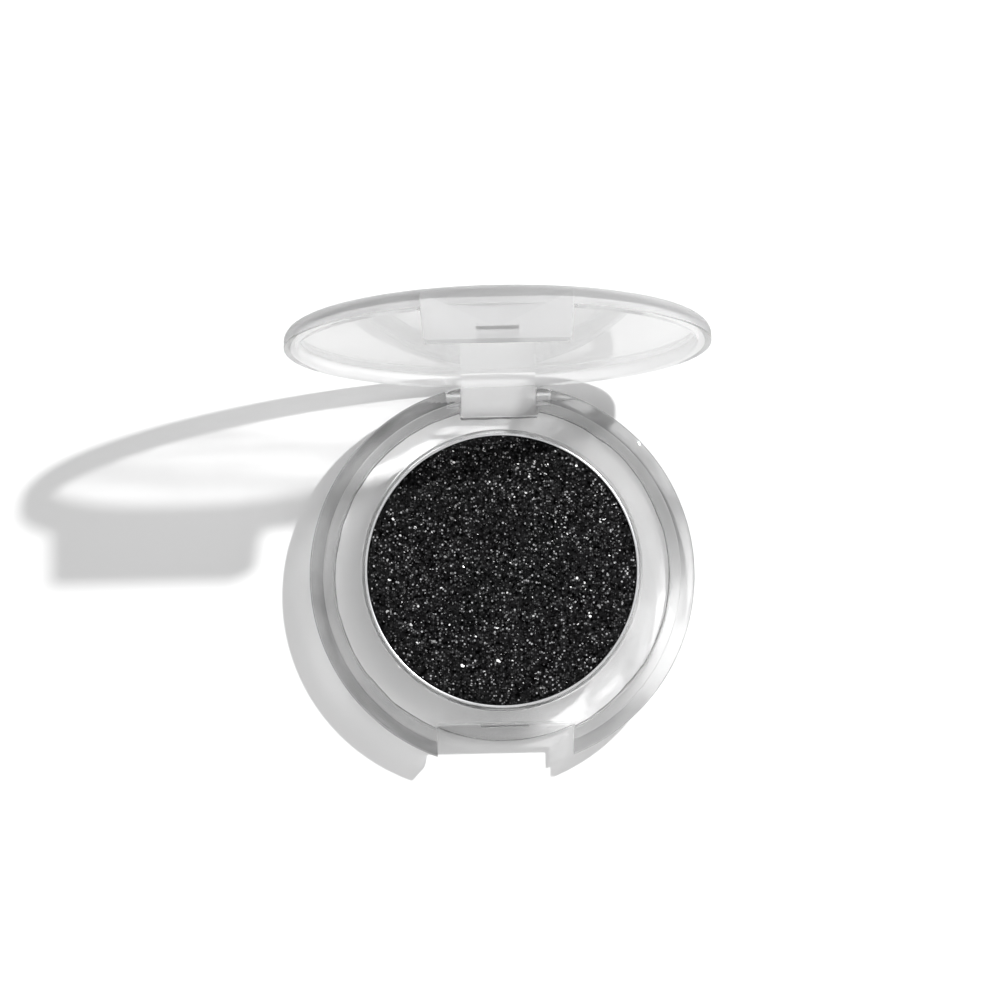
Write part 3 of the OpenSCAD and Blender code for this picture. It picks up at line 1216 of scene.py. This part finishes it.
@dataclass
class FilledPan:
    """The metal pan with its pressed powder and glitter, the glue under it and the label."""

    centre_y: float
    foot_z: float
    rim_z: float
    outer_r: float
    cake_top: float
    wall: float = 0.25
    corner_r: float = 0.6
    lip_w: float = 0.25
    lip_drop: float = 0.12
    lip_rows: tuple = (0.22, 0.15, 0.09, 0.04)
    pits: float = 0.05
    waves: tuple = ((2.6, 0.5), (0.9, 0.3), (0.42, 0.2))
    flake_half_t: float = 0.006
    flake_sizes: tuple = (6.0, 0.015)
    flake_limits: tuple = (0.05, 0.2)
    flake_tilts: tuple = (2.0, 0.09)
    tilt_most: float = 0.5
    turns: int = 320
    flakes: int = 2600
    seed: int = 11

    @classmethod
    def of_frame(cls) -> "FilledPan":
        """Takes the pan's and the powder's places from the frame's boxes, in millimetres."""
        low, high = np.array(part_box("pan")) / MM
        cake = np.array(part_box("powder_cake")[1]) / MM
        middle = (low + high) / 2
        return cls(middle[1], low[2], high[2], (high[0] - low[0]) / 2, cake[2])

    def pan(self) -> Piece:
        """The drawn cup: a thin wall with a rounded lip, turned about its own axis.

        Returns:
            The pan's object.
        """
        r, w, z0, z1 = self.outer_r, self.wall, self.foot_z, self.rim_z
        profile = filleted(
            (0.5, z0 + w, 0),
            (r - w, z0 + w, self.corner_r - w),
            (r - w, z1, 0.11),
            (r, z1, 0.11),
            (r, z0, self.corner_r),
            (0.5, z0, 0),
            steps=6,
        )
        return solid("metal_pan", rings(profile, self.turns, self.centre_y))

    def cake(self) -> Piece:
        """The pressed powder: a drum whose top is a finely pitted surface.

        The top's height is cake_top - pit * (0.5 + 0.5 * n), where n sums three sets of crossed
        waves with random phases, and it falls away in a worn lip by the pan's wall.

        Returns:
            The powder's object.
        """
        rng = np.random.default_rng(self.seed)
        edge = self.outer_r - self.wall
        open_part = np.linspace(0.4, edge - 0.3, 84)
        radii = np.concatenate([open_part, edge - np.array(self.lip_rows)])
        t = np.linspace(0, 2 * math.pi, self.turns, endpoint=False)
        x, y = radii[:, None] * np.sin(t), radii[:, None] * np.cos(t)
        waves = np.zeros_like(x)
        for size, share in self.waves:
            for angle, phase in rng.uniform(0, 2 * math.pi, (6, 2)):
                along = x * math.cos(angle) + y * math.sin(angle)
                waves += share / 6 * np.sin(2 * math.pi * along / size + phase)
        lip = np.clip((radii - (edge - self.lip_w)) / self.lip_w, 0, 1)[:, None] ** 2
        pits = self.pits * (0.5 + 0.5 * np.clip(waves * 1.6, -1, 1))
        top = self.cake_top - pits - lip * self.lip_drop
        upper = np.stack([x, y + self.centre_y, top], 2)
        z0 = self.foot_z + self.wall
        corner = (edge, z0, self.corner_r - self.wall)
        wall = filleted((edge, self.cake_top - 0.3, 0), corner, (0.5, z0, 0))
        lower = rings(wall, self.turns, self.centre_y)
        return solid("pressed_powder", np.concatenate([upper, lower]))

    def glitter(self) -> Piece:
        """Flat six-sided flakes scattered over the powder, each tilted its own way.

        A flake's corners are centre + s (cos t u + sin t v) +- h n, where u, v and n are a frame
        tilted by a random angle. All flakes are worked out as one array.

        Returns:
            The flakes' object.
        """
        rng = np.random.default_rng(self.seed + 1)
        count = self.flakes
        reach = self.outer_r - self.wall - 0.35
        radius = reach * np.sqrt(rng.random(count))
        spin = rng.uniform(0, 2 * math.pi, count)
        size = rng.gamma(*self.flake_sizes, count).clip(*self.flake_limits)
        z = self.cake_top - 0.035 + rng.uniform(-0.01, 0.012, count)
        centre = np.stack([radius * np.sin(spin), radius * np.cos(spin) + self.centre_y, z], 1)
        tilt = rng.gamma(*self.flake_tilts, count).clip(0, self.tilt_most)
        lean = rng.uniform(0, 2 * math.pi, count)
        n = np.stack([np.sin(tilt) * np.cos(lean), np.sin(tilt) * np.sin(lean), np.cos(tilt)], 1)
        u = np.cross(n, [0.3, 1.0, 0.2])
        u /= np.linalg.norm(u, axis=1, keepdims=True)
        v = np.cross(n, u)
        t = np.linspace(0, 2 * math.pi, 6, endpoint=False)
        stretch = rng.uniform(0.6, 1.0, count)[:, None, None]
        c, s = np.cos(t)[None, :, None], np.sin(t)[None, :, None]
        flat = size[:, None, None] * (c * u[:, None] + stretch * s * v[:, None])
        lift = self.flake_half_t * n[:, None]
        points = np.concatenate([centre[:, None] + flat + lift, centre[:, None] + flat - lift], 1)
        k = np.arange(6)
        sides = np.stack([k, k + 6, (k + 1) % 6 + 6, (k + 1) % 6], 1)
        caps = np.array([[0, 1, 2, 3], [0, 3, 4, 5], [9, 8, 7, 6], [11, 10, 9, 6]])
        faces = np.concatenate([sides, caps])
        every = (faces[None] + 12 * np.arange(count)[:, None, None]).reshape(-1, 4)
        mesh = bpy.data.meshes.new("glitter_flakes")
        mesh.from_pydata((points.reshape(-1, 3) * MM).tolist(), [], every.tolist())
        # Painted glints: each flake gets a random brightness, most of them dark.
        shade = mesh.attributes.new(GlitterFlake().attribute, "FLOAT", "POINT")
        values = np.repeat(rng.random(count) ** 1.5, 12).astype(np.float32)
        shade.data.foreach_set("value", values)
        return linked("glitter_flakes", mesh)

    def glue(self) -> Piece:
        """The flattened glue dot, with a soft bulging edge."""
        low, high = np.array(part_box("pan_glue_dot")) / MM
        t = np.linspace(0, 2 * math.pi, 160, endpoint=False)
        wander = 1 - 0.03 * (1 + np.sin(3 * t + 0.7) * 0.6 + np.sin(7 * t) * 0.4)
        loops = rings(self.disc(low, high, 0.045, 0.045), 160)
        loops[..., :2] *= wander[:, None]
        return solid("glue_dot", loops + (low + high) / 2 * np.array([1, 1, 0]))

    def label(self) -> Piece:
        """The blank label, with a crisp die-cut edge."""
        low, high = np.array(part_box("shade_label")) / MM
        return solid("blank_label", rings(self.disc(low, high, 0.02, 0.04), 256))

    def disc(self, low: Array, high: Array, top: float, foot: float) -> Array:
        """The profile of a disc that fills a box, its rims rounded by top and foot."""
        r = (high[0] - low[0]) / 2
        return filleted((0.3, high[2], 0), (r, high[2], top), (r, low[2], foot), (0.3, low[2], 0))


# The studio.


@dataclass
class Studio:
    """A plain pale floor under a white surround, one small lamp and the camera."""

    camera_at: tuple = (-0.1, 5.18, 162.0)
    tilt: float = 0.716
    roll: float = -1.16
    lens: float = 59.9
    lamp_at: tuple = (57.2, 50.3, 97.0)
    lamp_size: float = 3.0
    lamp_watts: float = 9.5
    sky: tuple = ((0.0, 0.8), (0.13, 0.8), (0.2, 0.25), (0.36, 0.25), (0.7, 0.91), (1.0, 0.91))
    foot_gap: float = 0.05
    card_half: float = 2000.0
    clip: tuple = (0.005, 5.0)
    bounces: int = 32
    clamp: float = 2.5

    def build(self) -> None:
        """Puts up the floor, the lights and the camera."""
        scene = bpy.context.scene
        scene.view_settings.view_transform = "Standard"
        scene.cycles.max_bounces = scene.cycles.transmission_bounces = self.bounces
        scene.cycles.sample_clamp_indirect = self.clamp
        self.floor()
        self.surroundings(scene)
        self.lamp()
        camera = bpy.data.cameras.new("camera")
        camera.lens, camera.sensor_width = self.lens, 36.0
        camera.clip_start, camera.clip_end = self.clip
        eye = bpy.data.objects.new("camera", camera)
        eye.location = tuple(v * MM for v in self.camera_at)
        eye.rotation_euler = (math.radians(self.tilt), 0, math.radians(self.roll))
        scene.collection.objects.link(eye)
        scene.camera = eye

    def floor(self) -> None:
        """The sheet of white card that the compact stands on."""
        g = Graph.of_material("white_card")
        card = g.ramp(g.noise(g.moved(40)), (0.2, 0.79), (0.8, 0.81))
        # Painted light: the card is painted paler far from the compact, making up for the lamp's
        # light falling off there.
        far = g.ramp(g.length(g.place()) * 10.0, (0.46, 0.0), (0.62, 1.0))
        colour = g.mixed(far, card, (0.92, 0.92, 0.92, 1))
        half, z = self.card_half * MM, -self.foot_gap * MM
        mesh = bpy.data.meshes.new("card")
        corners = [(-half, -half, z), (half, -half, z), (half, half, z), (-half, half, z)]
        mesh.from_pydata(corners, [], [(0, 1, 2, 3)])
        mesh.materials.append(g.surface(Base_Color=colour, Roughness=0.9, Specular_IOR_Level=0.1))
        linked("card", mesh)

    def surroundings(self, scene: bpy.types.Scene) -> None:
        """The soft white light of the room, from overhead more than from the sides."""
        world = bpy.data.worlds.new("room")
        g = Graph(world)
        way = g.value("ShaderNodeTexCoord", output="Generated")
        grey = g.ramp(g.value("ShaderNodeSeparateXYZ", None, {0: way}, "Z"), *self.sky)
        seen = g.value("ShaderNodeLightPath", output="Is Camera Ray")
        light = g.value("ShaderNodeBackground", None, {"Color": g.mixed(seen, grey, WHITE)})
        g.node("ShaderNodeOutputWorld", None, {"Surface": light})
        scene.world = world

    def lamp(self) -> None:
        """The small lamp behind and to the right."""
        light = bpy.data.lights.new("key", "AREA")
        light.shape, light.size = "DISK", self.lamp_size * MM
        light.energy = self.lamp_watts
        g = Graph(light)
        even = g.value("ShaderNodeLightFalloff", None, {"Strength": 1.0}, "Constant")
        glow = g.value("ShaderNodeEmission", None, {"Strength": even})
        g.node("ShaderNodeOutputLight", None, {"Surface": glow})
        lamp = bpy.data.objects.new("key", light)
        lamp.location = np.array(self.lamp_at) * MM
        lamp.rotation_mode = "QUATERNION"
        lamp.rotation_quaternion = (-lamp.location).to_track_quat("-Z", "Y")
        bpy.context.scene.collection.objects.link(lamp)


def main(frame: dict) -> None:
    """Builds every piece round the frame.
    """
    logging.basicConfig(level=logging.INFO, format="%(message)s")
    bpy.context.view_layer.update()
    Studio().build()
    hinge = Hinge.of(frame["joints"][0])

    base = dressed(BaseShell(hinge).build(), BASE_PLASTIC.material(), Body.BASE)
    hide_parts("base_shell")
    lid = dressed(Lid(hinge).build(), LID_PLASTIC.material(), Body.LID)
    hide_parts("lid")

    filling = FilledPan.of_frame()
    pan = dressed(filling.pan(), PanMetal().material(), Body.BASE)
    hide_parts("pan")
    cake = dressed(filling.cake(), PressedPowder().material(), Body.BASE)
    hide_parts("powder_cake")
    dressed(filling.glitter(), GlitterFlake().material(), Body.BASE)
    glue = dressed(filling.glue(), GlueBead().material(), Body.BASE)
    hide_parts("pan_glue_dot")
    label = dressed(filling.label(), LabelPaper().material(), Body.BASE)
    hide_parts("shade_label")


if __name__ == "__main__":
    main(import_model())
